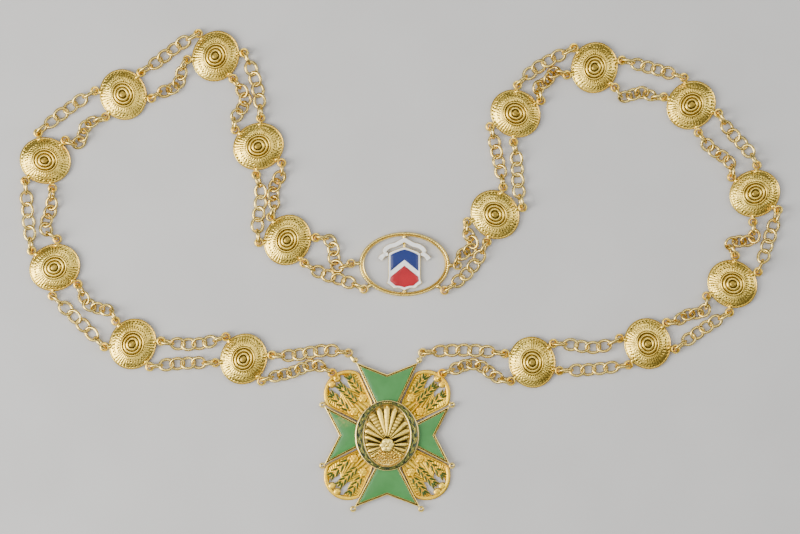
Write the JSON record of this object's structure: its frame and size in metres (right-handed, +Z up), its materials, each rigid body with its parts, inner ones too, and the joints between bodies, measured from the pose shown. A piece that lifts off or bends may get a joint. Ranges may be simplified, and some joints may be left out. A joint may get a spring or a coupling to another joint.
{
  "type": "order collar with cross badge",
  "caption": "Collar of an order: domed oval gilt discs on double cable chains, an oval shield cartouche behind and an enamelled cross badge in front.",
  "frame": {"origin": "middle of the length and breadth of the collar as it lies, on the surface that it rests on", "axes": "+X across the collar from wearer's right shoulder disc to left, as seen from above, +Y from the badge to the back of the neck, +Z up out of the surface"},
  "size_m": [0.3816, 0.2414, 0.0071],
  "materials": {
    "gilt": "polished gilt, pale yellow",
    "chain_gilt": "polished gilt wire",
    "deep_gilt": "satin gilt, deep yellow",
    "green_enamel": "glossy translucent enamel",
    "white_enamel": "glossy opaque enamel",
    "blue_enamel": "glossy enamel",
    "red_enamel": "glossy enamel"
  },
  "bodies": {
    "root": {"disc_L1": "gilt", "disc_L2": "gilt", "disc_L3": "gilt", "disc_L4": "gilt", "disc_L5": "gilt", "disc_L6": "gilt", "disc_L7": "gilt", "disc_L8": "gilt", "disc_R8": "gilt", "disc_R7": "gilt", "disc_R6": "gilt", "disc_R5": "gilt", "disc_R4": "gilt", "disc_R3": "gilt", "disc_R2": "gilt", "disc_R1": "gilt", "chain_C_L1_inner": "chain_gilt", "chain_C_L1_outer": "chain_gilt", "chain_L1_L2_inner": "chain_gilt", "chain_L1_L2_outer": "chain_gilt", "chain_L2_L3_inner": "chain_gilt", "chain_L2_L3_outer": "chain_gilt", "chain_L3_L4_inner": "chain_gilt", "chain_L3_L4_outer": "chain_gilt", "chain_L4_L5_inner": "chain_gilt", "chain_L4_L5_outer": "chain_gilt", "chain_L5_L6_inner": "chain_gilt", "chain_L5_L6_outer": "chain_gilt", "chain_L6_L7_inner": "chain_gilt", "chain_L6_L7_outer": "chain_gilt", "chain_L7_L8_inner": "chain_gilt", "chain_L7_L8_outer": "chain_gilt", "chain_L8_B_inner": "chain_gilt", "chain_L8_B_outer": "chain_gilt", "chain_B_R8_inner": "chain_gilt", "chain_B_R8_outer": "chain_gilt", "chain_R8_R7_inner": "chain_gilt", "chain_R8_R7_outer": "chain_gilt", "chain_R7_R6_inner": "chain_gilt", "chain_R7_R6_outer": "chain_gilt", "chain_R6_R5_inner": "chain_gilt", "chain_R6_R5_outer": "chain_gilt", "chain_R5_R4_inner": "chain_gilt", "chain_R5_R4_outer": "chain_gilt", "chain_R4_R3_inner": "chain_gilt", "chain_R4_R3_outer": "chain_gilt", "chain_R3_R2_inner": "chain_gilt", "chain_R3_R2_outer": "chain_gilt", "chain_R2_R1_inner": "chain_gilt", "chain_R2_R1_outer": "chain_gilt", "chain_R1_C_inner": "chain_gilt", "chain_R1_C_outer": "chain_gilt", "cartouche_frame": "gilt", "shield_plate": "white_enamel", "shield_blue": "blue_enamel", "shield_red": "red_enamel", "badge_quadrants": "deep_gilt", "badge_cross": "gilt", "badge_enamel": "green_enamel", "badge_medallion": "gilt"}
  },
  "joints": []
}
